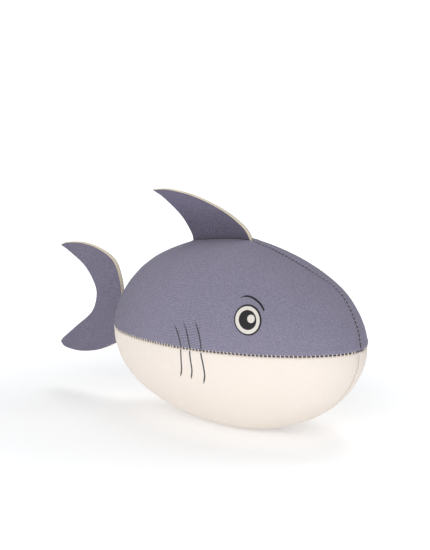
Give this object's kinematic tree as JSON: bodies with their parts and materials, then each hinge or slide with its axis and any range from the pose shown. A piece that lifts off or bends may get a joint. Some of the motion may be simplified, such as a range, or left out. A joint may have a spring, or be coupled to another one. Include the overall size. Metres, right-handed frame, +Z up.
{
  "type": "stuffed shark toy",
  "caption": "Stuffed shark of foam-backed knit with a rounded body, printed eyes and gills, and soft dorsal and tail fins that bend at their sewn roots.",
  "frame": {"origin": "on the surface the toy rests on, under the middle of its length", "axes": "+X to the nose, +Z up, so the shark's own right side is -Y"},
  "size_m": [0.2834, 0.113, 0.1697],
  "materials": {
    "grey_knit": "matte fine knit bonded to foam",
    "cream_knit": "matte fine knit bonded to foam",
    "foam_core": "matte cut edge of closed-cell foam",
    "cream_thread": "spun sewing thread",
    "grey_thread": "spun sewing thread",
    "filling": "loose crimped fibre",
    "dark_print": "thin matte printed film",
    "white_print": "thin matte printed film"
  },
  "bodies": {
    "body": {"upper_panel_right": "grey_knit", "upper_panel_left": "grey_knit", "dorsal_fin_root_tab": "grey_knit", "tail_fin_root_tab": "grey_knit", "belly_panel_right": "cream_knit", "belly_panel_left": "cream_knit", "side_seam_thread_right": "cream_thread", "side_seam_thread_left": "cream_thread", "belly_seam_thread": "cream_thread", "back_seam_thread_rear": "grey_thread", "back_seam_thread_front": "grey_thread", "fibre_filling": "filling", "eye_outline_right": "dark_print", "eye_pupil_right": "dark_print", "brow_ink_right": "dark_print", "upper_gill_1_right": "dark_print", "lower_gill_1_right": "dark_print", "upper_gill_2_right": "dark_print", "lower_gill_2_right": "dark_print", "upper_gill_3_right": "dark_print", "lower_gill_3_right": "dark_print", "eye_outline_left": "dark_print", "eye_pupil_left": "dark_print", "brow_ink_left": "dark_print", "upper_gill_1_left": "dark_print", "lower_gill_1_left": "dark_print", "upper_gill_2_left": "dark_print", "lower_gill_2_left": "dark_print", "upper_gill_3_left": "dark_print", "lower_gill_3_left": "dark_print", "eye_white_right": "white_print", "eye_catchlight_right": "white_print", "eye_white_left": "white_print", "eye_catchlight_left": "white_print"},
    "dorsal_fin": {"dorsal_fin_foam_core": "foam_core", "dorsal_fin_right_face": "grey_knit", "dorsal_fin_left_face": "grey_knit"},
    "tail_fin": {"tail_fin_foam_core": "foam_core", "tail_fin_right_face": "grey_knit", "tail_fin_left_face": "grey_knit"}
  },
  "joints": [
    {"name": "dorsal_fin_bend", "type": "hinge", "parent": "body", "child": "dorsal_fin", "pos_m": [0.021, 0, 0.13679], "axis": [0.994, 0, 0.1096], "range_deg": [-35, 35], "stiffness_Nm_per_rad": 0.04},
    {"name": "tail_fin_swing", "type": "hinge", "parent": "body", "child": "tail_fin", "pos_m": [-0.08, 0, 0.0648], "axis": [0, 0, 1], "range_deg": [-40, 40], "stiffness_Nm_per_rad": 0.04}
  ]
}
